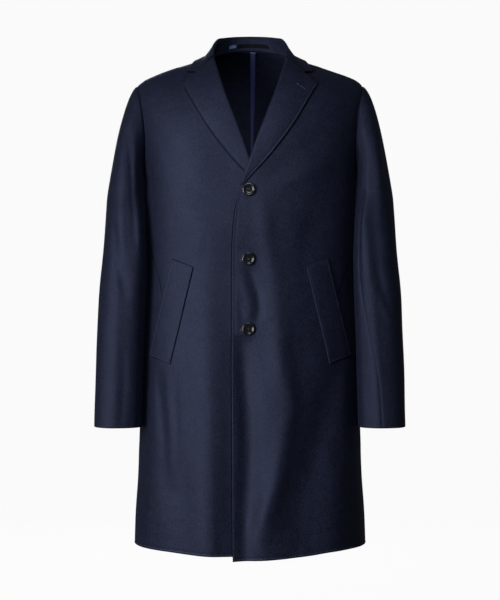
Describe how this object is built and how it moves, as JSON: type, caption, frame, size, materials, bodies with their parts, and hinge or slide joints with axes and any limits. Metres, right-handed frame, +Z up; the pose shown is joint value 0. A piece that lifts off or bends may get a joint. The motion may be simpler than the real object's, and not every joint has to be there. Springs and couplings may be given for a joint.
{
  "type": "wool overcoat",
  "caption": "Knee-length single-breasted wool overcoat with notched lapels, slanted welt pockets and round buttons, in its hollow worn shape with no wearer",
  "frame": {"origin": "base of the neck, between the shoulders, level with the shoulder seams at the neck, in the middle of the body's depth", "axes": "+Z up, -Y the way the coat's front faces, +X towards the wearer's left"},
  "size_m": [0.6096, 0.2911, 1.0385],
  "materials": {
    "wool": "matte brushed wool twill with a soft nap, dark navy",
    "satin": "smooth satin tape, blue",
    "horn": "polished dark horn effect with a raised rim"
  },
  "bodies": {
    "root": {"front_left": "wool", "front_right": "wool", "back_left": "wool", "back_right": "wool", "top_sleeve_left": "wool", "top_sleeve_right": "wool", "under_sleeve_left": "wool", "under_sleeve_right": "wool", "collar": "wool", "lapel_left": "wool", "lapel_right": "wool", "pocket_welt_left": "wool", "pocket_welt_right": "wool", "hanger_loop": "satin", "back_seam_binding": "satin", "button_top": "horn", "button_middle": "horn", "button_bottom": "horn"}
  },
  "joints": []
}
